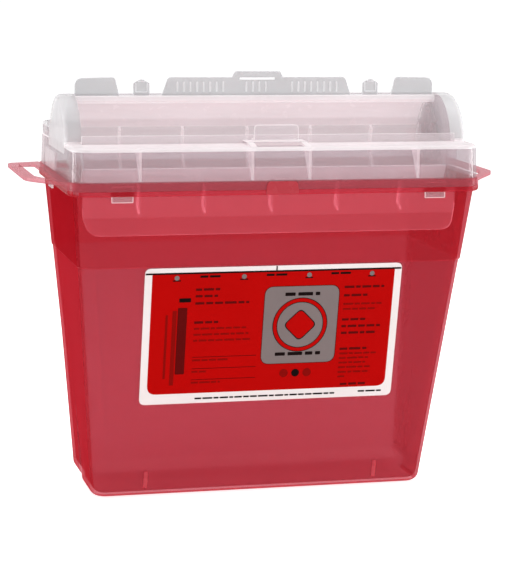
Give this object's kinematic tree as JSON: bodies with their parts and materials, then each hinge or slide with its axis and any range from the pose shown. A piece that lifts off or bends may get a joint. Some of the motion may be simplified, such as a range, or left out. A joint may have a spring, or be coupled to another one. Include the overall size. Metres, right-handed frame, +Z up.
{
  "type": "sharps container",
  "caption": "Wall-type sharps container: tapering translucent red tub with side loops, clear lid housing and a tip-to-drop tray worked by a pull flap.",
  "frame": {"origin": "middle of the box around the whole object, at the level of the surface that the tub stands on", "axes": "+Z up, +X towards the viewer's right when the label is faced, front (label side) towards -Y; the tray turns about +X"},
  "size_m": [0.309, 0.134, 0.2726],
  "materials": {
    "tub_red": "translucent red moulded polypropylene, satin gloss",
    "lid_clear": "natural translucent polypropylene, satin gloss",
    "baffle_clear": "natural translucent polypropylene, satin",
    "tray_clear": "natural translucent polypropylene, satin gloss",
    "flap_clear": "natural translucent polypropylene, satin",
    "label_card": "printed film label, satin"
  },
  "bodies": {
    "container": {"tub": "tub_red", "lid_housing": "lid_clear", "front_baffle": "baffle_clear", "front_label": "label_card"},
    "tray": {"drop_tray": "tray_clear", "pull_flap": "flap_clear"},
    "latch": {"finger_latch": "lid_clear"}
  },
  "joints": [
    {"name": "tray_tip", "type": "hinge", "parent": "container", "child": "tray", "pos_m": [0, -0.002, 0.225], "axis": [1, 0, 0], "range_deg": [0, 70]},
    {"name": "latch_flex", "type": "hinge", "parent": "container", "child": "latch", "pos_m": [0, -0.0493, 0.2325], "axis": [1, 0, 0], "range_deg": [0, 5], "stiffness_Nm_per_rad": 0.02}
  ]
}
